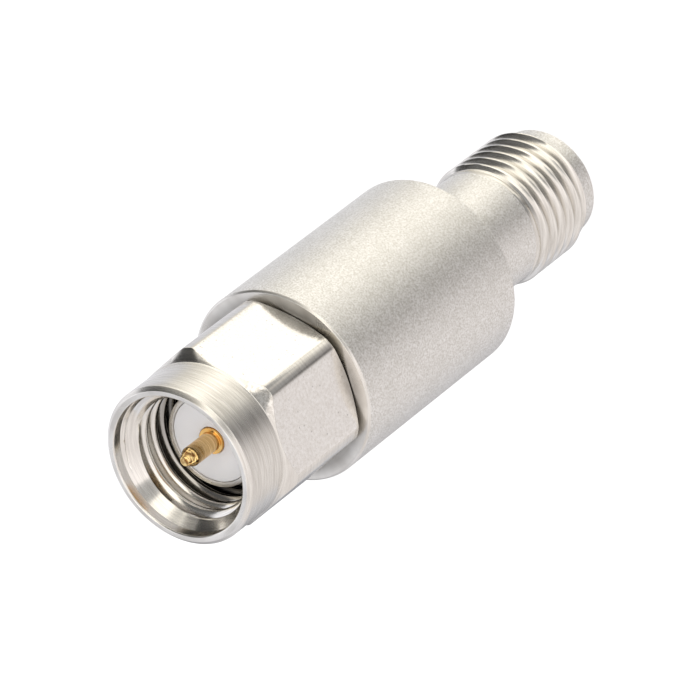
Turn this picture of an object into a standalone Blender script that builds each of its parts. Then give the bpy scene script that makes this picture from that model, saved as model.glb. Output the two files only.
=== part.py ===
"""A coaxial fixed attenuator: a plug with a coupling nut at one end, a threaded jack at the other.

The part stands on the end face of its jack, at z = 0, with its axis along +Z and the nut on top.
Every size below is in millimetres, and MM turns it to metres where a mesh is made.
"""

from math import asin, cos, pi, radians, sin, tan

import bmesh
import bpy

MM = 0.001

# Unified thread, 36 turns to the inch, cut on the jack and in the nut
THREAD_PITCH = 25.4 / 36
THREAD_FLANK_DEGREES = 30.0

# Fits between pieces
SEAT = 0.02              # gap left between pieces that are pressed or clamped together
RUNNING = 0.05           # radial clearance of the nut on its sleeve
NUT_FLOAT = 0.25         # axial play of the coupling nut on the plug

# Coaxial line: the insulator and the contact that both ends share
LINE_DIAMETER = 4.1
CONTACT_DIAMETER = 1.27
FLANGE_STEP = 0.3
FLANGE_DIAMETER = LINE_DIAMETER + 2 * FLANGE_STEP
FLANGE_LENGTH = 1.0
INSULATOR_RECESS = 0.05
CONTACT_COLLAR_DIAMETER = 1.7
CONTACT_COLLAR_LENGTH = 0.4
CONTACT_STUB_DIAMETER = 0.9
CONTACT_STUB_LENGTH = 0.85

# Threaded jack, from its mouth outwards
JACK_LENGTH = 10.0
JACK_LEDGE = 0.27        # width of the reference plane at the bottom of the mouth
JACK_MOUTH_DIAMETER = LINE_DIAMETER + 2 * JACK_LEDGE
JACK_MOUTH_DEPTH = 1.93
JACK_MOUTH_CHAMFER = 0.08
PILOT_WALL = 0.43
PILOT_DIAMETER = JACK_MOUTH_DIAMETER + 2 * PILOT_WALL
PILOT_LENGTH = 0.95
PILOT_CHAMFER = 0.12
THREAD_STEP = 0.4        # from the pilot up to the crests
THREAD_DIAMETER = PILOT_DIAMETER + 2 * THREAD_STEP
JACK_THREAD_DEPTH = 0.42
NECK_STEP = 0.25         # from the crests down to the neck
NECK_DIAMETER = THREAD_DIAMETER - 2 * NECK_STEP
NECK_LENGTH = 4.6
NECK_FILLET = 0.25

# Plug shell: the outer conductor and the sleeve that the nut turns on
PLUG_RECESS = 2.6
RIM_CLEARANCE = 0.04     # radial, in the mouth of a mating jack
RIM_DIAMETER = JACK_MOUTH_DIAMETER - 2 * RIM_CLEARANCE
RIM_LENGTH = 2.15
RIM_CHAMFER = 0.06
GROOVE_WALL = 0.26       # what the ring's groove leaves of the sleeve
SLEEVE_GROOVE_DIAMETER = LINE_DIAMETER + 2 * GROOVE_WALL
SLEEVE_GROOVE_DEPTH = 0.34
SLEEVE_DIAMETER = SLEEVE_GROOVE_DIAMETER + 2 * SLEEVE_GROOVE_DEPTH
SLEEVE_CHAMFER = 0.15
SPIGOT_LENGTH = 2.6
SPIGOT_CHAMFER = 0.1

# Retaining ring, a sprung C between the sleeve and the nut
RING_THICKNESS = 0.45
RING_FLOOR_GAP = 0.19    # radial, from the bottom of the sleeve's groove
RING_INNER_DIAMETER = SLEEVE_GROOVE_DIAMETER + 2 * RING_FLOOR_GAP
RING_WALL = 0.45
RING_OUTER_DIAMETER = RING_INNER_DIAMETER + 2 * RING_WALL
RING_GAP_DEGREES = 30.0
RING_HEIGHT = 1.35       # from the body's front face to the ring's lower face
NUT_GROOVE_DIAMETER = RING_OUTER_DIAMETER + 2 * RUNNING

# Coupling nut, from its bore outwards and along its length
THREAD_DEPTH = 0.32      # radial, from the jack's crests to the crests in the nut
NUT_THREAD_BORE = THREAD_DIAMETER - 2 * THREAD_DEPTH
NUT_THREAD_DEPTH = 0.35  # radial, from the crests in the nut out to its roots
NUT_THREAD_LENGTH = 3.55
NUT_RELIEF_STEP = 0.05   # how far the relief and the mouth clear the jack's crests
NUT_RELIEF_DIAMETER = THREAD_DIAMETER + 2 * NUT_RELIEF_STEP
NUT_RELIEF_LENGTH = 0.5
NUT_MOUTH_STEP = 0.25
NUT_MOUTH_DIAMETER = THREAD_DIAMETER + 2 * NUT_MOUTH_STEP
NUT_MOUTH_DEPTH = 0.5
NUT_SINK_LENGTH = 0.65
NUT_BORE_CHAMFER = 0.1
NUT_WALL = 0.45
NUT_COLLAR_DIAMETER = NUT_MOUTH_DIAMETER + 2 * NUT_WALL
NUT_COLLAR_LENGTH = 2.5
NUT_COLLAR_CHAMFER = 0.16
NUT_FLAT_RISE = 0.05     # from the collar up to the middle of a flat
NUT_ACROSS_FLATS = NUT_COLLAR_DIAMETER + 2 * NUT_FLAT_RISE
NUT_CORNER_RISE = 0.49   # from the middle of a flat up to the turned corners
NUT_CORNER_DIAMETER = NUT_ACROSS_FLATS + 2 * NUT_CORNER_RISE
NUT_SHOULDER_DEGREES = 45.0
NUT_REAR_CHAMFER_DEGREES = 30.0
NUT_REACH = 8.1          # from the body's front face to the nut's front face
NUT_REAR_GAP = 0.05

# Body, which stands a little proud of the nut's corners
BODY_LEDGE = 0.31
BODY_DIAMETER = NUT_CORNER_DIAMETER + 2 * BODY_LEDGE
BODY_LENGTH = 12.0
BODY_FRONT_CHAMFER = 0.2
BODY_REAR_RADIUS = 0.3
BODY_WALL = 1.2
CAVITY_DIAMETER = BODY_DIAMETER - 2 * BODY_WALL
CAVITY_FLOOR = 2.2
CAVITY_CHAMFER = 0.1

# Plug pin
PIN_STEP = 0.175         # from the contact's full diameter down to the pin
PIN_DIAMETER = CONTACT_DIAMETER - 2 * PIN_STEP
PIN_LENGTH = 2.15
PIN_SHOULDER = 0.1       # how far the contact's full diameter stands proud of the insulator
PIN_TAPER_LENGTH = 0.5
PIN_TIP_DIAMETER = 0.4
PIN_TIP_ROUND = 0.08

# Jack socket
SOCKET_PLAY = 0.02       # radial, round a mating pin
SOCKET_BORE_DIAMETER = PIN_DIAMETER + 2 * SOCKET_PLAY
SOCKET_BORE_DEPTH = 3.0
SOCKET_SLOT_WIDTH = 0.16
SOCKET_SLOT_DEPTH = 2.4
SOCKET_LEAD_IN = 0.06
SOCKET_DRILL_DEGREES = 30.0

# Attenuator card with its printed films, lying between the two contacts
CARD_LENGTH = 4.4
CARD_WIDTH = 3.1
CARD_THICKNESS = 0.4
FILM_THICKNESS = 0.04
GROUND_STRIP_WIDTH = 0.42
TRACK_WIDTH = 0.7
SERIES_FILM_LENGTH = 2.2
SHUNT_FILM_WIDTH = 0.8
TAB_THICKNESS = 0.1
TAB_WIDTH = 0.5
TAB_GRIP = 0.55          # length of the tab that sits in the contact's slot
TAB_LAP = 0.8            # length of the tab that lies on the card's track

# Carrier: two half cylinders that clamp the card
CARRIER_CHANNEL_WIDTH = 2.2
CARRIER_CHANNEL_DEPTH = 1.5
CARRIER_LIP_WIDTH = 2.4

# Facets round a turned piece
COARSE = 28
MEDIUM = 40
FINE = 48
ARC_STEPS = 4
SHARP_DEGREES = 25.0     # edges that turn more than this are shaded sharp

# How far a cutting tool reaches past the metal
OVERCUT = 1.0

# Levels along the axis, worked out from the sizes above
Z_BODY_REAR = JACK_LENGTH
Z_BODY_FRONT = Z_BODY_REAR + BODY_LENGTH
Z_NUT_FRONT = Z_BODY_FRONT + NUT_REACH
Z_NUT_REAR = Z_BODY_FRONT + NUT_REAR_GAP
Z_PLUG_PLANE = Z_NUT_FRONT - PLUG_RECESS
Z_JACK_PLANE = JACK_MOUTH_DEPTH
Z_CAVITY_FLOOR = Z_BODY_REAR + CAVITY_FLOOR
Z_SPIGOT_REAR = Z_BODY_FRONT - SPIGOT_LENGTH
Z_CARD = (Z_CAVITY_FLOOR + Z_SPIGOT_REAR) / 2
Z_RING = Z_BODY_FRONT + RING_HEIGHT

# Heights of the card's layers, measured across the axis: the tab lies on the axis itself
Y_FILM_TOP = -TAB_THICKNESS / 2 - SEAT
Y_CARD_TOP = Y_FILM_TOP - FILM_THICKNESS - SEAT
Y_CARD_BOTTOM = Y_CARD_TOP - CARD_THICKNESS


def clear_scene():
    for thing in list(bpy.data.objects):
        bpy.data.objects.remove(thing, do_unlink=True)


def material(name, colour, metallic, roughness):
    made = bpy.data.materials.new(name)
    made.use_nodes = True
    shader = made.node_tree.nodes["Principled BSDF"]
    shader.inputs["Base Color"].default_value = (*colour, 1.0)
    shader.inputs["Metallic"].default_value = metallic
    shader.inputs["Roughness"].default_value = roughness
    made.diffuse_color = (*colour, 1.0)
    return made


def add_object(name, mesh_data, surface):
    """Puts a finished bmesh into the scene under the piece's own name."""
    mesh = bpy.data.meshes.new(name)
    mesh_data.to_mesh(mesh)
    mesh_data.free()
    mesh.shade_smooth()
    mesh.set_sharp_from_angle(angle=radians(SHARP_DEGREES))
    if surface:
        mesh.materials.append(surface)
    piece = bpy.data.objects.new(name, mesh)
    bpy.context.collection.objects.link(piece)
    return piece


def turned(name, outline, steps, surface, sweep=2 * pi):
    """Turns an outline of (radius, height) points about the Z axis.

    An outline that starts and ends on the axis makes a solid piece, any other is closed into a
    ring. A sweep of less than a full turn gets flat ends.
    """
    form = bmesh.new()
    points = [form.verts.new((r * MM, 0.0, z * MM)) for r, z in outline]
    on_axis = outline[0][0] == 0 and outline[-1][0] == 0
    pairs = list(zip(points, points[1:]))
    if not on_axis:
        pairs.append((points[-1], points[0]))
    edges = [form.edges.new(pair) for pair in pairs]
    whole = sweep >= 2 * pi
    section = edges if whole else [form.faces.new(points)] + edges + points
    turn = bmesh.ops.spin(
        form, geom=section if whole else points + edges, cent=(0, 0, 0), axis=(0, 0, 1),
        angle=sweep, steps=steps, use_merge=whole,
    )
    if not whole:
        last = [item for item in turn["geom_last"] if isinstance(item, bmesh.types.BMEdge)]
        bmesh.ops.contextual_create(form, geom=last)
    bmesh.ops.remove_doubles(form, verts=form.verts, dist=1e-7)
    bmesh.ops.recalc_face_normals(form, faces=form.faces)
    return add_object(name, form, surface)


def extruded(name, outline, low, high, surface=None, axis="Z"):
    """Extrudes a closed outline along Z, or along Y, where its points are then (x, z)."""
    form = bmesh.new()
    if axis == "Z":
        corners = [form.verts.new((x * MM, y * MM, low * MM)) for x, y in outline]
        shift = (0.0, 0.0, (high - low) * MM)
    else:
        corners = [form.verts.new((x * MM, low * MM, z * MM)) for x, z in outline]
        shift = (0.0, (high - low) * MM, 0.0)
    base = form.faces.new(corners)
    grown = bmesh.ops.extrude_face_region(form, geom=[base])
    moved = [item for item in grown["geom"] if isinstance(item, bmesh.types.BMVert)]
    bmesh.ops.translate(form, verts=moved, vec=shift)
    bmesh.ops.recalc_face_normals(form, faces=form.faces)
    return add_object(name, form, surface)


def cut(piece, tool, operation="DIFFERENCE"):
    """Cuts a piece with a tool that is itself left out of the model."""
    tool.hide_render = True
    tool.display_type = "WIRE"
    step = piece.modifiers.new(tool.name, "BOOLEAN")
    step.operation = operation
    step.solver = "EXACT"
    step.object = tool


def arc(centre_r, centre_z, radius, start, end, steps=ARC_STEPS):
    """Points along an arc in the (radius, height) plane, angles in degrees from +radius."""
    angles = [radians(start + (end - start) * i / steps) for i in range(steps + 1)]
    return [(centre_r + radius * cos(a), centre_z + radius * sin(a)) for a in angles]


def thread_grooves(crest, depth, low, high):
    """Outline points of the thread's grooves between two heights, upwards along the crests.

    Each turn of the helix is drawn as a ring. A groove is a vee with its root depth away from
    the crests, inwards where depth is negative, and as many grooves are cut as whole turns fit.
    """
    half = abs(depth) * tan(radians(THREAD_FLANK_DEGREES))
    points = []
    for turn in range(int((high - low) / THREAD_PITCH)):
        middle = low + (turn + 0.5) * THREAD_PITCH
        points += [(crest, middle - half), (crest + depth, middle), (crest, middle + half)]
    return points


def box_outline(width, low, high, centre=0.0):
    """A rectangle of the given width from one height to another."""
    half = width / 2
    return [(centre - half, low), (centre + half, low), (centre + half, high), (centre - half, high)]


def make_housing(steel):
    """Body, neck and threaded jack: one turned bar, bored from both ends."""
    body = BODY_DIAMETER / 2
    neck = NECK_DIAMETER / 2
    crest = THREAD_DIAMETER / 2
    pilot = PILOT_DIAMETER / 2
    mouth = JACK_MOUTH_DIAMETER / 2
    line = LINE_DIAMETER / 2
    flange = FLANGE_DIAMETER / 2
    cavity = CAVITY_DIAMETER / 2
    z_neck = Z_BODY_REAR - NECK_LENGTH
    z_crests_low = PILOT_LENGTH + crest - pilot
    z_crests_high = z_neck - (crest - neck)
    outline = [
        (mouth + JACK_MOUTH_CHAMFER, 0.0),
        (pilot - PILOT_CHAMFER, 0.0),
        (pilot, PILOT_CHAMFER),
        (pilot, PILOT_LENGTH),
        (crest, z_crests_low),
    ]
    outline += thread_grooves(crest, -JACK_THREAD_DEPTH, z_crests_low, z_crests_high)
    outline += [(crest, z_crests_high), (neck, z_neck)]
    outline += arc(neck + NECK_FILLET, Z_BODY_REAR - NECK_FILLET, NECK_FILLET, 180, 90)
    outline += arc(body - BODY_REAR_RADIUS, Z_BODY_REAR + BODY_REAR_RADIUS, BODY_REAR_RADIUS, -90, 0)
    outline += [
        (body, Z_BODY_FRONT - BODY_FRONT_CHAMFER),
        (body - BODY_FRONT_CHAMFER, Z_BODY_FRONT),
        (cavity + CAVITY_CHAMFER, Z_BODY_FRONT),
        (cavity, Z_BODY_FRONT - CAVITY_CHAMFER),
        (cavity, Z_CAVITY_FLOOR),
        (flange, Z_CAVITY_FLOOR),
        (flange, Z_CAVITY_FLOOR - FLANGE_LENGTH),
        (line, Z_CAVITY_FLOOR - FLANGE_LENGTH),
        (line, Z_JACK_PLANE),
        (mouth, Z_JACK_PLANE),
        (mouth, JACK_MOUTH_CHAMFER),
    ]
    return turned("housing", outline, FINE, steel)


def make_plug_shell(steel):
    """The thin rim that meets the mating jack, the nut's sleeve and the spigot in the body."""
    rim = RIM_DIAMETER / 2
    line = LINE_DIAMETER / 2
    flange = FLANGE_DIAMETER / 2
    sleeve = SLEEVE_DIAMETER / 2
    groove = SLEEVE_GROOVE_DIAMETER / 2
    spigot = CAVITY_DIAMETER / 2 - SEAT
    z_sleeve = Z_PLUG_PLANE - RIM_LENGTH
    z_groove_low = Z_RING - SEAT
    z_groove_high = Z_RING + RING_THICKNESS + NUT_FLOAT + SEAT
    z_spigot_front = Z_BODY_FRONT - NUT_REAR_GAP
    outline = [
        (line, Z_PLUG_PLANE),
        (rim - RIM_CHAMFER, Z_PLUG_PLANE),
        (rim, Z_PLUG_PLANE - RIM_CHAMFER),
        (rim, z_sleeve),
        (sleeve - SLEEVE_CHAMFER, z_sleeve),
        (sleeve, z_sleeve - SLEEVE_CHAMFER),
        (sleeve, z_groove_high),
        (groove, z_groove_high),
        (groove, z_groove_low),
        (sleeve, z_groove_low),
        (sleeve, z_spigot_front),
        (spigot - SPIGOT_CHAMFER, z_spigot_front),
        (spigot, z_spigot_front - SPIGOT_CHAMFER),
        (spigot, Z_SPIGOT_REAR + SPIGOT_CHAMFER),
        (spigot - SPIGOT_CHAMFER, Z_SPIGOT_REAR),
        (flange, Z_SPIGOT_REAR),
        (flange, Z_SPIGOT_REAR + FLANGE_LENGTH),
        (line, Z_SPIGOT_REAR + FLANGE_LENGTH),
    ]
    return turned("plug_shell", outline, MEDIUM, steel)


def make_retaining_ring(spring_metal):
    """A C of flat section. Its gap lets it close while the nut is pushed over it."""
    inner = RING_INNER_DIAMETER / 2
    outer = RING_OUTER_DIAMETER / 2
    outline = [
        (inner, Z_RING),
        (outer, Z_RING),
        (outer, Z_RING + RING_THICKNESS),
        (inner, Z_RING + RING_THICKNESS),
    ]
    sweep = radians(360 - RING_GAP_DEGREES)
    return turned("retaining_ring", outline, MEDIUM, spring_metal, sweep)


def make_coupling_nut(steel):
    """A turned envelope, inside and out, crossed with a hexagon for its flats."""
    collar = NUT_COLLAR_DIAMETER / 2
    corner = NUT_CORNER_DIAMETER / 2
    flat = NUT_ACROSS_FLATS / 2
    mouth = NUT_MOUTH_DIAMETER / 2
    thread = NUT_THREAD_BORE / 2
    relief = NUT_RELIEF_DIAMETER / 2
    bore = SLEEVE_DIAMETER / 2 + RUNNING
    groove = NUT_GROOVE_DIAMETER / 2
    z_hexagon = Z_NUT_FRONT - NUT_COLLAR_LENGTH
    z_sink = Z_NUT_FRONT - NUT_MOUTH_DEPTH
    z_thread = z_sink - NUT_SINK_LENGTH
    z_relief = z_thread - NUT_THREAD_LENGTH
    z_bore = z_relief - NUT_RELIEF_LENGTH
    shoulder = (corner - collar) * tan(radians(NUT_SHOULDER_DEGREES))
    rear_chamfer = (corner - flat) * tan(radians(NUT_REAR_CHAMFER_DEGREES))
    outline = [
        (mouth, Z_NUT_FRONT),
        (collar - NUT_COLLAR_CHAMFER, Z_NUT_FRONT),
        (collar, Z_NUT_FRONT - NUT_COLLAR_CHAMFER),
        (collar, z_hexagon),
        (corner, z_hexagon - shoulder),
        (corner, Z_NUT_REAR + rear_chamfer),
        (flat, Z_NUT_REAR),
        (bore + NUT_BORE_CHAMFER, Z_NUT_REAR),
        (bore, Z_NUT_REAR + NUT_BORE_CHAMFER),
        (bore, Z_RING - SEAT),
        (groove, Z_RING - SEAT),
        (groove, Z_RING + RING_THICKNESS + SEAT),
        (bore, Z_RING + RING_THICKNESS + SEAT),
        (bore, z_bore),
        (relief, z_bore),
        (relief, z_relief),
        (thread, z_relief),
    ]
    outline += thread_grooves(thread, NUT_THREAD_DEPTH, z_relief, z_thread)
    outline += [(thread, z_thread), (mouth, z_sink)]
    nut = turned("coupling_nut", outline, FINE, steel)
    across_corners = NUT_ACROSS_FLATS / cos(pi / 6)
    hexagon = [(across_corners / 2 * cos(k * pi / 3), across_corners / 2 * sin(k * pi / 3)) for k in range(6)]
    flats = extruded("nut_flats", hexagon, Z_NUT_REAR - OVERCUT, Z_NUT_FRONT + OVERCUT)
    cut(nut, flats, "INTERSECT")
    return nut


def make_insulator(name, z_face, z_seat, into, plastic):
    """A bead whose flange is trapped at the inner end. The face lies at z_face, facing out."""
    outer = LINE_DIAMETER / 2 - SEAT
    flange = FLANGE_DIAMETER / 2 - SEAT
    bore = CONTACT_DIAMETER / 2 + SEAT
    z_step = z_seat - into * (FLANGE_LENGTH - SEAT)
    outline = [
        (bore, z_face),
        (outer, z_face),
        (outer, z_step),
        (flange, z_step),
        (flange, z_seat),
        (bore, z_seat),
    ]
    return turned(name, outline, MEDIUM, plastic)


def contact_tail(z_seat, into):
    """Collar and stub behind the insulator, as outline points from the seat to the axis."""
    barrel = CONTACT_DIAMETER / 2
    collar = CONTACT_COLLAR_DIAMETER / 2
    stub = CONTACT_STUB_DIAMETER / 2
    z_collar = z_seat + into * SEAT
    z_stub = z_collar + into * CONTACT_COLLAR_LENGTH
    z_end = z_stub + into * CONTACT_STUB_LENGTH
    return [
        (barrel, z_collar),
        (collar, z_collar),
        (collar, z_stub),
        (stub, z_stub),
        (stub, z_end),
        (0.0, z_end),
    ]


def stub_end(z_seat, into):
    return z_seat + into * (SEAT + CONTACT_COLLAR_LENGTH + CONTACT_STUB_LENGTH)


def saw_tab_slot(contact, z_seat, into):
    """A saw cut across the stub takes the tab that leads to the card."""
    end = stub_end(z_seat, into)
    low, high = sorted((end - into * (TAB_GRIP + SEAT), end + into * OVERCUT))
    depth = TAB_THICKNESS / 2 + SEAT
    slot = box_outline(CONTACT_COLLAR_DIAMETER + OVERCUT, low, high)
    cut(contact, extruded(contact.name + "_saw", slot, -depth, depth, axis="Y"))


def make_plug_pin(gold):
    pin = PIN_DIAMETER / 2
    barrel = CONTACT_DIAMETER / 2
    tip = PIN_TIP_DIAMETER / 2
    z_face = Z_PLUG_PLANE - INSULATOR_RECESS
    z_tip = z_face + PIN_LENGTH
    outline = [
        (0.0, z_tip),
        (tip - PIN_TIP_ROUND, z_tip),
        (tip, z_tip - PIN_TIP_ROUND),
        (pin, z_tip - PIN_TAPER_LENGTH),
        (pin, z_face + PIN_SHOULDER),
        (barrel, z_face + PIN_SHOULDER),
    ]
    outline += contact_tail(Z_SPIGOT_REAR, -1)
    made = turned("plug_pin", outline, COARSE, gold)
    saw_tab_slot(made, Z_SPIGOT_REAR, -1)
    return made


def make_jack_socket(gold):
    """A drilled contact whose wall is sawn into four fingers."""
    bore = SOCKET_BORE_DIAMETER / 2
    barrel = CONTACT_DIAMETER / 2
    z_face = Z_JACK_PLANE + INSULATOR_RECESS
    drill_point = bore * tan(radians(SOCKET_DRILL_DEGREES))
    outline = [
        (0.0, z_face + SOCKET_BORE_DEPTH + drill_point),
        (bore, z_face + SOCKET_BORE_DEPTH),
        (bore, z_face + SOCKET_LEAD_IN),
        (bore + SOCKET_LEAD_IN, z_face),
        (barrel, z_face),
    ]
    outline += contact_tail(Z_CAVITY_FLOOR, 1)
    made = turned("jack_socket", outline, COARSE, gold)
    reach = CONTACT_DIAMETER
    half = SOCKET_SLOT_WIDTH / 2
    quarter = [(reach, -half), (reach, half), (half, half)]
    cross = []
    for turn in range(4):
        c, s = round(cos(turn * pi / 2)), round(sin(turn * pi / 2))
        cross += [(x * c - y * s, x * s + y * c) for x, y in quarter]
    saw = extruded("socket_saw", cross, z_face - OVERCUT, z_face + SOCKET_SLOT_DEPTH)
    cut(made, saw)
    saw_tab_slot(made, Z_CAVITY_FLOOR, 1)
    return made


def make_carriers(brass):
    """Two half cylinders. The lower one has a shelf for the card, the upper one a lip on its strips."""
    outer = CAVITY_DIAMETER / 2 - SEAT
    pocket = CARD_WIDTH / 2 + SEAT
    channel = CARRIER_CHANNEL_WIDTH / 2
    lip_inner = CARRIER_LIP_WIDTH / 2
    lip_outer = pocket - SEAT
    parting = SEAT / 2
    shelf = Y_CARD_BOTTOM - SEAT
    lip = Y_FILM_TOP + SEAT
    low = Z_CAVITY_FLOOR + SEAT
    high = Z_SPIGOT_REAR - SEAT
    edge = asin(parting / outer) * 180 / pi
    half_turn = MEDIUM // 2
    lower = arc(0.0, 0.0, outer, 180 + edge, 360 - edge, half_turn)
    lower += [
        (pocket, -parting),
        (pocket, shelf),
        (channel, shelf),
        (channel, -CARRIER_CHANNEL_DEPTH),
        (-channel, -CARRIER_CHANNEL_DEPTH),
        (-channel, shelf),
        (-pocket, shelf),
        (-pocket, -parting),
    ]
    upper = arc(0.0, 0.0, outer, edge, 180 - edge, half_turn)
    upper += [
        (-lip_outer, parting),
        (-lip_outer, lip),
        (-lip_inner, lip),
        (-lip_inner, CARRIER_CHANNEL_DEPTH),
        (lip_inner, CARRIER_CHANNEL_DEPTH),
        (lip_inner, lip),
        (lip_outer, lip),
        (lip_outer, parting),
    ]
    extruded("carrier_lower", lower, low, high, brass)
    extruded("carrier_upper", upper, low, high, brass)


def make_card(ceramic, resistive, silver):
    """The ceramic card, its cross of resistive film, the two tracks and the two earth strips."""
    z_low = Z_CARD - CARD_LENGTH / 2
    z_high = Z_CARD + CARD_LENGTH / 2
    extruded("attenuator_card", box_outline(CARD_WIDTH, z_low, z_high), Y_CARD_BOTTOM, Y_CARD_TOP, ceramic, "Y")

    low, high = Y_FILM_TOP - FILM_THICKNESS, Y_FILM_TOP
    series = SERIES_FILM_LENGTH / 2
    shunt = SHUNT_FILM_WIDTH / 2
    arm = TRACK_WIDTH / 2
    strip_edge = CARD_WIDTH / 2 - SEAT
    reach = strip_edge - GROUND_STRIP_WIDTH - SEAT
    cross = [
        (arm, Z_CARD - series), (arm, Z_CARD - shunt), (reach, Z_CARD - shunt),
        (reach, Z_CARD + shunt), (arm, Z_CARD + shunt), (arm, Z_CARD + series),
        (-arm, Z_CARD + series), (-arm, Z_CARD + shunt), (-reach, Z_CARD + shunt),
        (-reach, Z_CARD - shunt), (-arm, Z_CARD - shunt), (-arm, Z_CARD - series),
    ]
    extruded("resistor_film", cross, low, high, resistive, "Y")
    plug_track = box_outline(TRACK_WIDTH, Z_CARD + series + SEAT, z_high - SEAT)
    jack_track = box_outline(TRACK_WIDTH, z_low + SEAT, Z_CARD - series - SEAT)
    extruded("plug_track", plug_track, low, high, silver, "Y")
    extruded("jack_track", jack_track, low, high, silver, "Y")
    for side, name in ((-1, "ground_strip_left"), (1, "ground_strip_right")):
        centre = side * (strip_edge - GROUND_STRIP_WIDTH / 2)
        strip = box_outline(GROUND_STRIP_WIDTH, z_low + SEAT, z_high - SEAT, centre)
        extruded(name, strip, low, high, silver, "Y")


def make_tab(name, z_seat, into, gold):
    """A flat tab from the saw cut in the contact's stub to the track on the card."""
    end = stub_end(z_seat, into)
    card_end = Z_CARD - into * CARD_LENGTH / 2
    low, high = sorted((end - into * TAB_GRIP, card_end + into * TAB_LAP))
    tab = box_outline(TAB_WIDTH, low, high)
    extruded(name, tab, -TAB_THICKNESS / 2, TAB_THICKNESS / 2, gold, "Y")


def build():
    clear_scene()
    steel = material("bead_blasted_steel", (0.70, 0.69, 0.67), 1.0, 0.42)
    bright_steel = material("turned_steel", (0.74, 0.73, 0.71), 1.0, 0.25)
    spring_metal = material("spring_bronze", (0.62, 0.45, 0.28), 1.0, 0.35)
    gold = material("gold_plate", (0.86, 0.62, 0.24), 1.0, 0.22)
    brass = material("brass", (0.72, 0.56, 0.30), 1.0, 0.35)
    ptfe = material("ptfe", (0.90, 0.90, 0.92), 0.0, 0.45)
    ceramic = material("alumina", (0.86, 0.86, 0.84), 0.0, 0.6)
    resistive = material("resistive_film", (0.05, 0.06, 0.06), 0.0, 0.5)
    silver = material("silver_film", (0.75, 0.74, 0.72), 1.0, 0.35)

    make_housing(steel)
    make_plug_shell(bright_steel)
    make_retaining_ring(spring_metal)
    make_coupling_nut(bright_steel)
    make_insulator("plug_insulator", Z_PLUG_PLANE - INSULATOR_RECESS, Z_SPIGOT_REAR, -1, ptfe)
    make_insulator("jack_insulator", Z_JACK_PLANE + INSULATOR_RECESS, Z_CAVITY_FLOOR, 1, ptfe)
    make_plug_pin(gold)
    make_jack_socket(gold)
    make_carriers(brass)
    make_card(ceramic, resistive, silver)
    make_tab("plug_tab", Z_SPIGOT_REAR, -1, gold)
    make_tab("jack_tab", Z_CAVITY_FLOOR, 1, gold)


build()
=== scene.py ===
"""Looks of a coaxial fixed attenuator: plug with coupling nut, cylindrical body, threaded jack.

The shapes are surfaces worked out on grids of angle round the axis by steps along a turned
outline. Lengths are in millimetres until a mesh is made. The threads follow their real helix.
"""

from math import acos, cos, degrees, pi, radians, sin, tan

import bmesh
import bpy
import numpy as np
from mathutils import Matrix, Vector


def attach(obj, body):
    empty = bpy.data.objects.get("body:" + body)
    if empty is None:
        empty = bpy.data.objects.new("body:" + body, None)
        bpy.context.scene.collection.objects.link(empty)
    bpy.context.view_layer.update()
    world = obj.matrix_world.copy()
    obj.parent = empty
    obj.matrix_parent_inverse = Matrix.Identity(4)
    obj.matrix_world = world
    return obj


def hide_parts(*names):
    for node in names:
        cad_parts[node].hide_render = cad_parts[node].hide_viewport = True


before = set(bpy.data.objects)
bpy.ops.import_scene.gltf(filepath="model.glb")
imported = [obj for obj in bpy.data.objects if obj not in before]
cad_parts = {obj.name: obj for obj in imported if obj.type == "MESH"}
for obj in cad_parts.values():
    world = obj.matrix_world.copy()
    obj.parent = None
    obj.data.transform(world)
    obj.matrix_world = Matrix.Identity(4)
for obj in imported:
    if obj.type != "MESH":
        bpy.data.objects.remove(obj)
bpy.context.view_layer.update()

MM = 0.001
MERGE = 2e-8              # points nearer than this, in metres, are one point
BODY = "attenuator_body"
NUT = "coupling_nut"

# Fits between pieces
SEAT = 0.02
RUNNING = 0.05
NUT_FLOAT = 0.25

# Fillets of edges, from one that the tool left sharp to one that is plainly round
SHARP = 0.01
CRISP = 0.02
BROKEN = 0.03
EASED = 0.04
SOFT = 0.05
FULL = 0.06
ROUND = 0.08
BLUNT = 0.12

# Housing
BODY_RADIUS = 4.7
SKIN_INSET = 0.003        # the skin lies this far inside, so that the body stays inside its size
BODY_FRONT_CHAMFER = 0.1
BODY_REAR_RADIUS = 0.15
NECK_RADIUS = 2.9
NECK_LENGTH = 4.6
NECK_FILLET = 0.25
JACK_CREST = 3.15
LAST_CREST = 3.03         # the low ridge that the thread leaves at the neck
PILOT = 2.75
PILOT_LENGTH = 0.95
PILOT_CHAMFER = 0.12
JACK_MOUTH = 2.32
JACK_MOUTH_CHAMFER = 0.08
CAVITY = 3.5
CAVITY_CHAMFER = 0.1

# Coaxial line and its contacts
LINE = 2.05
CONTACT = 0.635
FLANGE = 2.35
FLANGE_LENGTH = 1.0
INSULATOR_RECESS = 0.05
COLLAR_RADIUS = 0.85
COLLAR_LENGTH = 0.4
STUB_RADIUS = 0.45
STUB_LENGTH = 0.85
TAB_THICKNESS = 0.1
TAB_GRIP = 0.55
SAW_PASS = 0.2            # how far the saw passes the stub's end

# Plug shell
RIM = 2.28
RIM_LENGTH = 2.15
SLEEVE = 2.65
SLEEVE_GROOVE = 2.31
RING_THICKNESS = 0.45

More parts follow.
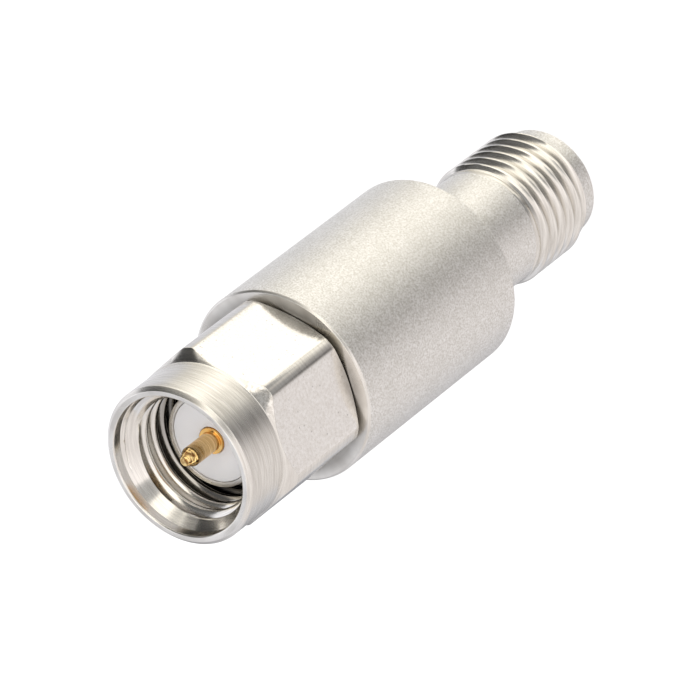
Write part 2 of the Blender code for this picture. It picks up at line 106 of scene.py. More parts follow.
# Coupling nut
NUT_FLAT = 3.9
NUT_CORNER = 4.35
NUT_COLLAR = 3.85
NUT_COLLAR_LENGTH = 2.5
NUT_COLLAR_CHAMFER = 0.19
SHOULDER_FILLET = 0.108   # where the collar meets the shoulder's cone
EDGE_WEAR = 0.025         # how soft tumbling left the hexagon's edges
REAR_CHAMFER_SLOPE = tan(radians(30))
REAR_FACE = 3.86          # where the nut's flat rear face ends
REAR_CLEAR = 0.002        # how far the chamfer's last row stays in front of that face
RIM_BREAK = 0.06          # the broken inner edge of the nut's front face
RIM_FALL = 0.01           # how far the front face falls to that edge
NUT_MOUTH = 3.4
NUT_MOUTH_DEPTH = 0.5
NUT_SINK_LENGTH = 0.65
NUT_BORE = 2.83
NUT_THREAD_LENGTH = 3.55
NUT_RELIEF = 3.2
NUT_RELIEF_LENGTH = 0.5
NUT_GROOVE = 3.0
NUT_BORE_CHAMFER = 0.1
STRIP_HALF = degrees(pi / 6 - acos(NUT_FLAT / NUT_CORNER))  # half the turned strip on a corner
CHATTERED_CORNERS = (120, -60)  # azimuths of the corners where the tool chattered

# Pin and socket
PIN = 0.46
PIN_LENGTH = 2.15
PIN_SHOULDER = 0.1
PIN_TAPER = 0.5
PIN_TIP = 0.2
PIN_TIP_FILLET = 0.09
SOCKET_BORE = 0.48
SOCKET_DEPTH = 3.0
SOCKET_SLOT = 0.16
SOCKET_SLOT_DEPTH = 2.4
SOCKET_LEAD_IN = 0.06
SOCKET_FINGERS = 4
DRILL_SLOPE = tan(radians(30))

# Levels along the axis
Z_BODY_REAR = 10.0
Z_BODY_FRONT = 22.0
Z_NUT_REAR = 22.05
Z_NUT_FRONT = 30.1
Z_PLUG_PLANE = 27.5
Z_JACK_PLANE = 1.93
Z_CAVITY_FLOOR = 12.2
Z_SPIGOT_REAR = 19.4
Z_RING = 23.35
Z_NECK = Z_BODY_REAR - NECK_LENGTH

# Unified thread, 36 turns to the inch, cut on the jack and in the nut. The flats are the crest's
# and the root's shares of the pitch, the fades are how far the cut takes to reach its depth at
# the lower and the upper end, and the phase places the crests along the axis, on the jack as
# the photograph shows them. A negative depth is an external thread.
PITCH = 25.4 / 36
JACK_THREAD = {
    "crest": JACK_CREST, "depth": -0.46, "flats": (0.17, 0.07), "fades": (0.1, 0.25),
    "phase": 0.395}
NUT_THREAD = {
    "crest": NUT_BORE, "depth": 0.46, "flats": (0.26, 0.05), "fades": (0.12, 0.1),
    "phase": 0.0}
# The bar under the jack's thread near the neck: how far below the neck, and its radius there.
# The crests end, a low ridge follows, and a short cone falls to the neck.
THREAD_END = [
    (0.5, JACK_CREST), (0.4, LAST_CREST + 0.01), (0.28, LAST_CREST), (0.1, NECK_RADIUS + 0.02),
    (0.0, NECK_RADIUS)]
RUN_OUT = (0.75, 0.6)     # the root climbs to the neck between these distances below it

# How fine the pieces are, in columns round the axis
HOUSING_COLUMNS = 288
SHELL_COLUMNS = 192
BEAD_COLUMNS = 144
CONTACT_COLUMNS = 64
FINGER_COLUMNS = 14
NUT_FLAT_COLUMNS = 17     # on half a flat
FLOOR_COLUMNS = 96

# Measures that tell one zone of a finish from the next
HAIR = 0.02
STEP = 0.05
WALL = 0.4                # less than the metal between the line's bore and the outside
CONE_START = 3.98         # the shoulder of the nut is a cone from this radius on
CONE_DROP = 0.7           # and within this distance behind the collar
UPRIGHT = 0.1             # a face whose normal rises less than this stands along the axis
SLOPING = 0.3             # and one whose normal rises more than this is a cone or an end
SHARP_DEGREES = 32        # edges above this angle shade as sharp


# Shapes

def filleted(corners, steps=3):
    """Rounds an outline's corners.

    Each corner is (radius, height, fillet). A corner with a fillet gives way to a quadratic
    curve through both tangent points, which lie fillet / tan(half the corner's angle) from it
    along its two sides, but no further than 0.45 of a side. The corner itself is the curve's
    control point.
    """
    points = np.array([c[:2] for c in corners], float)
    out = []
    share = np.linspace(0, 1, steps + 1)[:, None]
    for i, corner in enumerate(corners):
        fillet = corner[2] if len(corner) > 2 else 0
        if not fillet:
            out.append(points[i][None])
            continue
        back = points[i - 1] - points[i]
        ahead = points[(i + 1) % len(points)] - points[i]
        back_length, ahead_length = np.linalg.norm(back), np.linalg.norm(ahead)
        back, ahead = back / back_length, ahead / ahead_length
        half = acos(np.clip(back @ ahead, -1, 1)) / 2
        reach = min(fillet / tan(half), back_length * 0.45, ahead_length * 0.45)
        first, last = points[i] + back * reach, points[i] + ahead * reach
        out.append((1 - share) ** 2 * first + 2 * share * (1 - share) * points[i]
                   + share ** 2 * last)
    return np.concatenate(out)


def even_columns(count):
    """Angles round a full turn, with the first repeated at the end, where the seam is merged."""
    return np.linspace(0, 2 * pi, count + 1)


def rings(outline, angles):
    """Rows of a surface of revolution: each outline point keeps its radius and height all round."""
    outline = np.asarray(outline, float)
    one = np.ones_like(angles)
    return outline[:, :1] * one, outline[:, 1:2] * one


def helix_rows(angles, low, high, envelope, crest, depth, flats, fades, phase, floor=None):
    """Rows that follow a right-handed thread between two heights.

    Row k of the thread lies at height k + pitch * angle / full turn, held between low and high,
    so each row is a helix and the last column of one turn is the first column of the next. The
    thread's radius there is crest + depth * the profile's depth at that share of the pitch.
    Where that cuts into the turned envelope(height) it is used, and elsewhere the envelope is.
    The cut fades in and out along the two fades, and goes no deeper than floor(height).
    """
    shares, cut = vee_profile(*flats)
    turns = int((high - low) / PITCH) + 3
    start = low - PITCH * 2 + phase
    steps = (np.arange(turns + 1)[:, None] + shares[None]).ravel()
    height = start + PITCH * (steps[:, None] + angles[None] / (2 * pi))
    height = np.clip(height, low, high)
    fade_low = np.clip((height - low) / fades[0], 0, 1)
    fade_high = np.clip((high - height) / fades[1], 0, 1)
    fade = np.minimum(fade_low, fade_high)
    thread = crest + depth * np.tile(cut, turns + 1)[:, None] * np.ones_like(angles)
    turned = envelope(height)
    way = np.sign(depth)
    if floor:
        thread = way * np.minimum(way * thread, way * floor(height))
    return turned + way * fade * np.maximum(way * (thread - turned), 0), height


def vee_profile(crest, root):
    """One pitch of a 60 degree thread, from the middle of a crest: shares of the pitch, and how
    deep each lies, from 0 on the crest to 1 at the root. The flank between the two flats is
    straight. The corners of both are let down or raised a little, with one more step beside
    each, which rounds them."""
    beside, inward, let_down, raised = 0.02, 0.7, 0.012, 0.015
    c, r = crest / 2, root / 2
    shares = np.array([
        0.0, c * inward, c, c + beside, 0.25, 0.5 - beside - r, 0.5 - r, 0.5 - r / 2,
        0.5, 0.5 + r / 2, 0.5 + r, 0.5 + beside + r, 0.75, 1 - beside - c, 1 - c, 1 - c * inward,
    ])
    rise = (0.5 - r) - c
    depth = np.clip((0.5 - np.abs(shares - 0.5) - c) / rise, 0, 1)
    crest_corner = np.isclose(shares, c) | np.isclose(shares, 1 - c)
    root_corner = np.isclose(shares, 0.5 - r) | np.isclose(shares, 0.5 + r)
    depth = np.where(crest_corner, let_down / rise, depth)
    return shares, np.where(root_corner, 1 - raised / rise, depth)


def grid_points(radius, height, angles):
    """Points of a grid, in metres: (radius cos angle, radius sin angle, height)."""
    points = np.stack([radius * np.cos(angles), radius * np.sin(angles), height], -1) * MM
    return points.reshape(-1, 3)


def grid_quads(index, ring=True):
    """Quads between the neighbours of a grid of point numbers. The last row joins the first
    where the outline is a ring."""
    below, above = (index, np.roll(index, -1, axis=0)) if ring else (index[:-1], index[1:])
    corners = [below[:, :-1], below[:, 1:], above[:, 1:], above[:, :-1]]
    return np.stack(corners, -1).reshape(-1, 4)


def grid_mesh(name, radius, height, angles, ring=True):
    """Mesh of a grid with a row for each step along the outline and a column for each angle.
    Points that coincide at the seam, at poles and at the ends of a thread are merged."""
    radius, height = np.asarray(radius, float), np.asarray(height, float)
    points = grid_points(radius, height, np.broadcast_to(angles, radius.shape))
    return quad_mesh(name, points, grid_quads(np.arange(radius.size).reshape(radius.shape), ring))


def quad_mesh(name, points, quads):
    """Mesh of an array of points, in metres, and an array of four point numbers for each face."""
    mesh = bpy.data.meshes.new(name)
    mesh.vertices.add(len(points))
    mesh.vertices.foreach_set("co", points.astype(np.float32).ravel())
    mesh.loops.add(quads.size)
    mesh.loops.foreach_set("vertex_index", quads.astype(np.int32).ravel())
    mesh.polygons.add(len(quads))
    mesh.polygons.foreach_set("loop_start", np.arange(0, quads.size, 4, dtype=np.int32))
    mesh.update(calc_edges=True)
    tidy_mesh(mesh)
    return mesh


def tidy_mesh(mesh):
    """Merges coinciding points, drops faces without area and turns the faces outwards."""
    form = bmesh.new()
    form.from_mesh(mesh)
    bmesh.ops.remove_doubles(form, verts=form.verts, dist=MERGE)
    bmesh.ops.dissolve_degenerate(form, edges=form.edges, dist=MERGE)
    bmesh.ops.recalc_face_normals(form, faces=form.faces)
    form.to_mesh(mesh)
    form.free()


def paint_zones(mesh, choose):
    """Gives each face the material slot that choose(its centre in mm, its normal) names. Both
    come as arrays with a row for each face."""
    centres, normals = (np.zeros(len(mesh.polygons) * 3, np.float32) for _ in range(2))
    mesh.polygons.foreach_get("center", centres)
    mesh.polygons.foreach_get("normal", normals)
    zones = choose(centres.reshape(-1, 3) / MM, normals.reshape(-1, 3))
    mesh.polygons.foreach_set("material_index", np.asarray(zones, np.int32))


def add_piece(name, mesh, finishes, body, replaced):
    """Puts a mesh into the scene as a piece that rides on a body and stands for a CAD node."""
    for finish in finishes:
        mesh.materials.append(finish)
    mesh.shade_smooth()
    mesh.set_sharp_from_angle(angle=radians(SHARP_DEGREES))
    piece = bpy.data.objects.new(name, mesh)
    bpy.context.scene.collection.objects.link(piece)
    even = piece.modifiers.new("even shading", "WEIGHTED_NORMAL")
    even.keep_sharp = True
    even.weight = 90
    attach(piece, body)
    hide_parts(replaced)


# Colours and materials

def colour(tone):
    """A linear colour from an sRGB hex value, or the grey of a level."""
    if not isinstance(tone, str):
        return (tone, tone, tone, 1.0)
    parts = [int(tone[i:i + 2], 16) / 255 for i in (1, 3, 5)]
    return (*[p / 12.92 if p <= 0.04045 else ((p + 0.055) / 1.055) ** 2.4 for p in parts], 1.0)


def add_node(tree, kind, settings=None, inputs=None, stops=()):
    """Adds one node. Settings are its own properties. Inputs are values, or sockets to link.
    Stops are the places and colours of a colour ramp."""
    node = tree.nodes.new("ShaderNode" + kind)
    for key, value in (settings or {}).items():
        setattr(node, key, value)
    if stops:
        elements = node.color_ramp.elements
        while len(elements) < len(stops):
            elements.new(1.0)
        for element, (place, shade) in zip(elements, stops):
            element.position = place
            element.color = shade
    for key, value in (inputs or {}).items():
        if isinstance(value, bpy.types.NodeSocket):
            tree.links.new(value, node.inputs[key])
        else:
            node.inputs[key].default_value = value
    return node


def new_material(name, **values):
    """A material with a principled shader, whose constant sockets are set by name."""
    made = bpy.data.materials.new(name)
    made.use_nodes = True
    tree = made.node_tree
    shader = tree.nodes["Principled BSDF"]
    for key, value in values.items():
        shader.inputs[key.replace("_", " ")].default_value = value
    return made, tree, shader


def placed(tree, size_mm):
    """Object coordinates, counted in steps of a size in mm. The size is one number, or one for
    each axis."""
    sizes = size_mm if isinstance(size_mm, tuple) else (size_mm,) * 3
    here = add_node(tree, "TexCoord").outputs["Object"]
    scale = [1 / (size * MM) for size in sizes]
    return add_node(tree, "Mapping", inputs={"Vector": here, "Scale": scale}).outputs[0]


def clouded(tree, size_mm, detail, roughness):
    """A noise pattern of a size in mm. It is drawn out into lines where each axis has its own."""
    noise = add_node(tree, "TexNoise", inputs={
        "Vector": placed(tree, size_mm), "Scale": 1.0, "Detail": detail, "Roughness": roughness})
    return noise.outputs["Fac"]


def toned(tree, pattern, span, dark, light, under=None):
    """A colour that goes from dark to light while a pattern rises through a span. It multiplies
    the colour under it, where there is one."""
    share = add_node(tree, "MapRange", inputs={
        "Value": pattern, "From Min": span[0], "From Max": span[1]})
    mixed = add_node(tree, "Mix", {"data_type": "RGBA"}, {
        "Factor": share.outputs["Result"], "A": colour(dark), "B": colour(light)})
    if under is not None:
        mixed = add_node(tree, "Mix", {"data_type": "RGBA", "blend_type": "MULTIPLY"}, {
            "Factor": 1.0, "A": under, "B": mixed.outputs["Result"]})
    return mixed.outputs["Result"]


def surfaced(tree, shader, base, relief, strength, depth_mm, roughness=None, span=(0.3, 0.7),
             sheen=None):
    """Gives a shader its base colour and the relief of a pattern. The roughness goes between
    its two values while the sheen's pattern, or else the relief's, rises through a span."""
    tree.links.new(base, shader.inputs["Base Color"])
    if roughness:
        rough = add_node(tree, "MapRange", inputs={
            "Value": relief if sheen is None else sheen, "From Min": span[0], "From Max": span[1],
            "To Min": roughness[0], "To Max": roughness[1]})
        tree.links.new(rough.outputs["Result"], shader.inputs["Roughness"])
    bump = add_node(tree, "Bump", inputs={
        "Height": relief, "Strength": strength, "Distance": depth_mm * MM})
    tree.links.new(bump.outputs["Normal"], shader.inputs["Normal"])


def bead_blasted_steel():
    """Stainless steel after fine glass bead: an even, pale satin with tiny overlapping dents.

    The beads leave dents about 0.05 mm across, and larger cloudy patches where the jet dwelt.
    The dents are drawn at 0.085 mm, as coarse as a pixel of the view needs.
    """
    made, tree, shader = new_material("bead_blasted_stainless_steel", Metallic=1.0)
    dents = clouded(tree, 0.085, 3.0, 0.6)
    clouds = clouded(tree, 0.9, 4.0, 0.55)
    base = toned(tree, dents, (0.38, 0.62), "#DEDBD5", "#FFFEFC")
    base = toned(tree, clouds, (0.3, 0.7), "#F8F8F7", "#FFFFFF", base)
    surfaced(tree, shader, base, dents, 0.65, 0.01, (0.42, 0.52))
    return made


def turned_steel(name, roughness, line_strength, tones=("#DAD6CF", "#F1EEE8"), painted_shade_by_radius=None,
                 painted_shade_by_height=None, grooved=0.0):
    """Stainless steel straight from the lathe: bright, with fine tool lines round the axis.
    Painted shade by radius, as (radius in mm where it is darkest, radius where it ends, level),
    darkens the colour in thread roots and on the ring under the nut, standing in for shade there.
    Painted shade by height, as (height in mm where it is darkest, height where it ends, level),
    darkens the colour deep in a bore, standing in for shade there. Grooved, from 0 to 1, spreads
    the reflections across the tool lines.

    The feed leaves a line every 0.05 mm. It is drawn at 0.07 mm, with wider bands of lines that
    come and go every 0.3 mm, which break the reflections up across the axis.
    """
    made, tree, shader = new_material(
        name, Metallic=1.0, Anisotropic=grooved, Anisotropic_Rotation=0.25)
    if grooved:
        around = add_node(tree, "Tangent", {"direction_type": "RADIAL", "axis": "Z"})
        tree.links.new(around.outputs["Tangent"], shader.inputs["Tangent"])
    lines = clouded(tree, (1.6, 1.6, 0.07), 2.0, 0.6)
    bands = clouded(tree, (3, 3, 0.3), 3.0, 0.5)
    base = toned(tree, lines, (0.35, 0.65), *tones)
    # Painted shade: the colour darkens towards the given radius, for shade in thread roots and
    # under the nut
    if painted_shade_by_radius:
        flat = add_node(tree, "VectorMath", {"operation": "MULTIPLY"}, {
            0: placed(tree, 1), 1: (1, 1, 0)}).outputs["Vector"]
        reach = add_node(tree, "VectorMath", {"operation": "LENGTH"}, {0: flat}).outputs["Value"]
        base = toned(tree, reach, painted_shade_by_radius[:2], painted_shade_by_radius[2], 1.0, base)
    # Painted shade: the colour darkens deep in the bore, where shade falls
    if painted_shade_by_height:
        level = add_node(tree, "SeparateXYZ", inputs={"Vector": placed(tree, 1)}).outputs["Z"]
        base = toned(tree, level, painted_shade_by_height[:2], painted_shade_by_height[2], 1.0, base)
    surfaced(tree, shader, base, lines, line_strength, 0.004,
             (roughness * 0.85, roughness * 1.2), sheen=bands)
    return made


def chattered_steel():
    """Steel where the lathe's form tool met the hexagon's corners and chattered: bright, with
    crumpled dents about 0.16 mm apart that break its reflections into flakes."""
    made, tree, shader = new_material("chattered_stainless_steel", Metallic=1.0, Roughness=0.13)
    dents = clouded(tree, 0.16, 2.0, 0.5)
    base = toned(tree, dents, (0.4, 0.6), "#D6D2CB", "#F3F0EA")
    surfaced(tree, shader, base, dents, 0.28, 0.01)
    return made


def milled_steel():
    """Stainless steel flats, milled and then tumbled: smooth and even, with scattered fine pits.

    The pits are about 0.05 mm across and lie 0.4 mm apart. Tumbling left a fine grain of
    0.12 mm between them.
    """
    made, tree, shader = new_material("milled_stainless_steel", Metallic=1.0)
    grain = clouded(tree, 0.12, 3.0, 0.6)
    pits = add_node(tree, "TexVoronoi", {"feature": "F1"}, {
        "Vector": placed(tree, 0.4), "Scale": 1.0, "Randomness": 1.0}).outputs["Distance"]
    base = toned(tree, grain, (0.3, 0.7), "#E7E3DD", "#FDFBF8")
    base = toned(tree, pits, (0.05, 0.13), 0.6, 1.0, base)
    surfaced(tree, shader, base, grain, 0.3, 0.005, (0.15, 0.22))
    return made


def gold_plate(name, dark, light, roughness, strength, line_mm=(1.0, 1.0, 0.06)):
    """Gold over nickel on a turned contact: warm and bright, with the cutter's lines showing
    through the thin plate. The lines have a size in mm along each axis."""
    made, tree, shader = new_material(name, Metallic=1.0)
    lines = clouded(tree, line_mm, 2.0, 0.6)
    base = toned(tree, lines, (0.35, 0.65), dark, light)
    surfaced(tree, shader, base, lines, strength, 0.006, roughness)
    return made


def ptfe():
    """Sintered PTFE, faced on a lathe: milky white, waxy, with a soft sheen and a faint blue."""
    made, tree, shader = new_material(
        "faced_ptfe", IOR=1.35, Subsurface_Weight=0.25, Subsurface_Scale=0.4 * MM,
        Subsurface_Radius=(1.0, 0.95, 0.9))
    haze = clouded(tree, 0.6, 3.0, 0.5)
    base = toned(tree, haze, (0, 1), "#F9F9FC", "#FDFDFF")
    surfaced(tree, shader, base, haze, 0.1, 0.01, (0.38, 0.5), span=(0, 1))
    return made


def plain_grain(name, dark, light, size_mm, metallic, roughness):
    """A hidden piece's finish: two close tones and two values of roughness, in one fine grain."""
    made, tree, shader = new_material(name, Metallic=metallic)
    grain = clouded(tree, size_mm, 4.0, 0.6)
    base = toned(tree, grain, (0, 1), dark, light)
    surfaced(tree, shader, base, grain, 0.2, 0.006, roughness, span=(0, 1))
    return made


# Pieces

def make_housing(blasted, threaded, faced, shadowed_ring):
    """Body, neck and jack as one skin. The jack's thread is cut into it along the real helix,
    from the plain land behind the end face to the shoulder of the neck."""
    angles = even_columns(HOUSING_COLUMNS)
    body = BODY_RADIUS - SKIN_INSET
    land = [(PILOT_LENGTH, PILOT), (PILOT_LENGTH + JACK_CREST - PILOT, JACK_CREST)]
    turned_levels, turned_radii = zip(*land, *[(Z_NECK - below, r) for below, r in THREAD_END])
    root = JACK_CREST + JACK_THREAD["depth"]

    def envelope(height):
        return np.interp(height, turned_levels, turned_radii)

    def floor(height):
        return np.interp(height, [Z_NECK - below for below in RUN_OUT], [root, NECK_RADIUS])

    # The bore's outline and the outside's meet in the cavity's mouth, and each leaves out the
    # point where it ends there
    bore = filleted([
        (CAVITY, Z_BODY_FRONT - CAVITY_CHAMFER, CRISP), (CAVITY, Z_CAVITY_FLOOR),
        (FLANGE, Z_CAVITY_FLOOR), (FLANGE, Z_CAVITY_FLOOR - FLANGE_LENGTH),
        (LINE, Z_CAVITY_FLOOR - FLANGE_LENGTH), (LINE, Z_JACK_PLANE, CRISP),
        (JACK_MOUTH, Z_JACK_PLANE), (JACK_MOUTH, JACK_MOUTH_CHAMFER, CRISP),
        (JACK_MOUTH + JACK_MOUTH_CHAMFER, 0.0, CRISP), (PILOT - PILOT_CHAMFER, 0.0, SOFT),
        (PILOT, PILOT_CHAMFER, ROUND), (PILOT, PILOT_LENGTH)])[1:]
    thread = helix_rows(angles, PILOT_LENGTH, Z_NECK, envelope, **JACK_THREAD, floor=floor)
    outside = filleted([
        (NECK_RADIUS, Z_NECK), (NECK_RADIUS, Z_BODY_REAR, NECK_FILLET),
        (body, Z_BODY_REAR, BODY_REAR_RADIUS), (body, Z_BODY_FRONT - BODY_FRONT_CHAMFER, EASED),
        (body - BODY_FRONT_CHAMFER, Z_BODY_FRONT, EASED),
        (CAVITY + CAVITY_CHAMFER, Z_BODY_FRONT, CRISP),
        (CAVITY, Z_BODY_FRONT - CAVITY_CHAMFER)], 5)[:-1]
    blocks = [rings(bore, angles), thread, rings(outside, angles)]
    radius, height = (np.concatenate(rows) for rows in zip(*blocks))
    mesh = grid_mesh("housing_skin", radius, height, angles)

    def zone(centre, _):
        reach, level = np.hypot(centre[:, 0], centre[:, 1]), centre[:, 2]
        in_line = reach < LINE + WALL
        cut = (level > PILOT_LENGTH) & (level < Z_NECK - HAIR / 2) & ~in_line
        end = (level < PILOT_LENGTH) & (reach < PILOT - PILOT_CHAMFER)
        inside = (reach < CAVITY + HAIR) & ((level > Z_BODY_REAR + WALL) | in_line)
        face = level > Z_BODY_FRONT - BODY_FRONT_CHAMFER + HAIR / 2
        ring = face & (reach > CAVITY + HAIR)
        # Slots: 0 blasted, 1 threaded, 2 faced, 3 faced with a painted shadow under the nut
        return np.select([cut, ring, end | inside | face], [1, 3, 2], 0)

    paint_zones(mesh, zone)
    add_piece("housing_skin", mesh, [blasted, threaded, faced, shadowed_ring],
              BODY, "housing")


def make_plug_shell(steel):
    """The rim round the insulator, the sleeve that the nut turns on and the pressed spigot."""
    z_sleeve = Z_PLUG_PLANE - RIM_LENGTH
    z_low, z_high = Z_RING - SEAT, Z_RING + RING_THICKNESS + NUT_FLOAT + SEAT
    z_front = Z_BODY_FRONT - (Z_NUT_REAR - Z_BODY_FRONT)
    spigot = CAVITY - SEAT
    outline = filleted([
        (LINE, Z_PLUG_PLANE, CRISP), (RIM, Z_PLUG_PLANE, SOFT), (RIM, z_sleeve, BROKEN),
        (SLEEVE, z_sleeve, BLUNT), (SLEEVE, z_high, CRISP), (SLEEVE_GROOVE, z_high),
        (SLEEVE_GROOVE, z_low), (SLEEVE, z_low, CRISP), (SLEEVE, z_front),
        (spigot, z_front, ROUND), (spigot, Z_SPIGOT_REAR, ROUND), (FLANGE, Z_SPIGOT_REAR),
        (FLANGE, Z_SPIGOT_REAR + FLANGE_LENGTH), (LINE, Z_SPIGOT_REAR + FLANGE_LENGTH)])
    angles = even_columns(SHELL_COLUMNS)
    mesh = grid_mesh("plug_shell_skin", *rings(outline, angles), angles)
    add_piece("plug_shell_skin", mesh, [steel], BODY, "plug_shell")


def nut_columns():
    """Angles for the nut: six equal sectors about its corners, with close columns on either
    side of the edges between the turned corner strips and the flats."""
    beside_edge = np.array([-2.1, -1.5, -1.0, -0.6, -0.2, 0.2, 0.6, 1.0, 1.5])
    on_flat = np.linspace(STRIP_HALF + 2.2, 30, NUT_FLAT_COLUMNS)
    half = np.concatenate([[0.0], STRIP_HALF + beside_edge, on_flat])
    sector = np.concatenate([-half[:0:-1], half[:-1]])
    turn = (np.arange(6)[:, None] * 60 + sector[None]).ravel()
    turn = np.sort(np.mod(turn, 360))
    return np.radians(np.append(turn, 360.0))


def make_nut(turned, milled, threaded, faced, chattered):
    """The coupling nut.

    Outside, the radius at an angle is that of the hexagon, flat / cos(angle from the middle of
    the flat), or the turned corner's where that is less. A soft minimum,
    -wear log(exp(-a / wear) + exp(-b / wear)), rounds the edge between the two as tumbling does.
    The shoulder's cone meets it at a height that falls by as much as that radius exceeds the
    collar's, and the rear chamfer rises to it at 30 degrees. Inside, the thread's rows follow
    the helix between the countersink and the relief.
    """
    angles = nut_columns()
    from_flat = np.mod(angles, pi / 3) - pi / 6
    plane = NUT_FLAT / np.cos(from_flat)
    out = NUT_FLAT - EDGE_WEAR * np.log(
        np.exp(-(plane - NUT_FLAT) / EDGE_WEAR) + np.exp(-(NUT_CORNER - NUT_FLAT) / EDGE_WEAR))
    z_hexagon = Z_NUT_FRONT - NUT_COLLAR_LENGTH
    z_sink = Z_NUT_FRONT - NUT_MOUTH_DEPTH
    z_thread = z_sink - NUT_SINK_LENGTH
    z_relief = z_thread - NUT_THREAD_LENGTH
    z_bore = z_relief - NUT_RELIEF_LENGTH
    z_groove, z_groove_end = Z_RING - SEAT, Z_RING + RING_THICKNESS + SEAT
    bore = SLEEVE + RUNNING

    # The first and last points of the front only give the corners beside them their direction
    front = filleted([
        (NUT_MOUTH, z_sink), (NUT_MOUTH, Z_NUT_FRONT - RIM_BREAK, BROKEN),
        (NUT_MOUTH + RIM_BREAK, Z_NUT_FRONT - RIM_FALL, FULL),
        (NUT_COLLAR - NUT_COLLAR_CHAMFER, Z_NUT_FRONT, SOFT),
        (NUT_COLLAR, Z_NUT_FRONT - NUT_COLLAR_CHAMFER, FULL),
        (NUT_COLLAR, z_hexagon, SHOULDER_FILLET), (NUT_COLLAR + 0.1, z_hexagon - 0.1)], 4)[1:-1]
    # The hexagon's rows, from the shoulder's edge to the rear chamfer's: the height of the edge,
    # and how far inside the wall and above the edge the row lies, as shares of the wear
    shoulder_edge = z_hexagon - (out - NUT_COLLAR)
    rear_edge = Z_NUT_REAR + (out - NUT_FLAT) * REAR_CHAMFER_SLOPE
    wall = [(shoulder_edge, 0.7, 0.7), (shoulder_edge, 0.2, -0.1), (shoulder_edge, 0.0, -1.0),
            (rear_edge, 0.0, 1.0), (rear_edge, 0.15, 0.0), (rear_edge, 0.9, -0.5)]
    hexagon_r = np.stack([out - EDGE_WEAR * inside for _, inside, _ in wall])
    hexagon_z = np.stack([edge + EDGE_WEAR * above for edge, _, above in wall])
    hexagon_z[-1] = np.maximum(hexagon_z[-1], Z_NUT_REAR + REAR_CLEAR)
    rear = filleted([
        (REAR_FACE, Z_NUT_REAR), (bore + NUT_BORE_CHAMFER, Z_NUT_REAR, CRISP),
        (bore, Z_NUT_REAR + NUT_BORE_CHAMFER, CRISP), (bore, z_groove, SHARP),
        (NUT_GROOVE, z_groove), (NUT_GROOVE, z_groove_end), (bore, z_groove_end, SHARP),
        (bore, z_bore, CRISP), (NUT_RELIEF, z_bore), (NUT_RELIEF, z_relief, CRISP),
        (NUT_BORE, z_relief)])

    def sink(height):
        return np.interp(height, [z_thread, z_sink], [NUT_BORE, NUT_MOUTH])

    thread = helix_rows(angles, z_relief, z_sink, sink, **NUT_THREAD)
    blocks = [rings(front, angles), (hexagon_r, hexagon_z), rings(rear, angles), thread,
              rings([(NUT_MOUTH, z_sink)], angles)]
    radius, height = (np.concatenate(rows) for rows in zip(*blocks))
    mesh = grid_mesh("coupling_nut_skin", radius, height, angles)

    def zone(centre, normal):
        reach, level = np.hypot(centre[:, 0], centre[:, 1]), centre[:, 2]
        azimuth = np.degrees(np.arctan2(centre[:, 1], centre[:, 0]))
        on_strip = np.abs(np.mod(azimuth + 30, 60) - 30) <= STRIP_HALF
        upright = np.abs(normal[:, 2]) < UPRIGHT
        sloping = np.abs(normal[:, 2]) > SLOPING
        inside = (reach < NUT_MOUTH - HAIR) & (level < z_thread)
        mouth = (reach < NUT_MOUTH + HAIR) & (level >= z_thread)
        flat = (reach > NUT_FLAT - STEP) & upright & ~on_strip
        strip = (reach > NUT_FLAT + STEP) & upright & on_strip
        shoulder = (reach > CONE_START) & sloping & (level > z_hexagon - CONE_DROP)
        rough = shoulder & np.isin(np.round(azimuth / 60) * 60, CHATTERED_CORNERS)
        # Slots: 0 turned, 1 milled, 2 threaded, 3 faced, 4 chattered
        return np.select([inside, rough, mouth | strip | shoulder, flat], [2, 4, 3, 1], 0)

    paint_zones(mesh, zone)
    add_piece("coupling_nut_skin", mesh, [turned, milled, threaded, faced, chattered],
              NUT, "coupling_nut")


def make_insulator(name, z_face, z_seat, into, plastic, node):
    """A PTFE bead: a tube with a flange at its inner end."""
    bore, outer = CONTACT + SEAT, LINE - SEAT
    flange = FLANGE - SEAT
    z_step = z_seat - into * (FLANGE_LENGTH - SEAT)
    outline = filleted([
        (bore, z_face, BROKEN), (outer, z_face, EASED), (outer, z_step), (flange, z_step, BROKEN),
        (flange, z_seat, BROKEN), (bore, z_seat, CRISP)])
    angles = even_columns(BEAD_COLUMNS)
    mesh = grid_mesh(name, *rings(outline, angles), angles)
    add_piece(name, mesh, [plastic], BODY, node)


def contact_tail(z_seat, into):
    """Outline from behind the insulator to the axis: the collar, and the stub for the tab."""
    z_collar = z_seat + into * SEAT
    z_stub = z_collar + into * COLLAR_LENGTH
    z_end = z_stub + into * STUB_LENGTH
    return [
        (CONTACT, z_collar), (COLLAR_RADIUS, z_collar, BROKEN), (COLLAR_RADIUS, z_stub, BROKEN),
        (STUB_RADIUS, z_stub), (STUB_RADIUS, z_end, BROKEN), (0.0, z_end)]


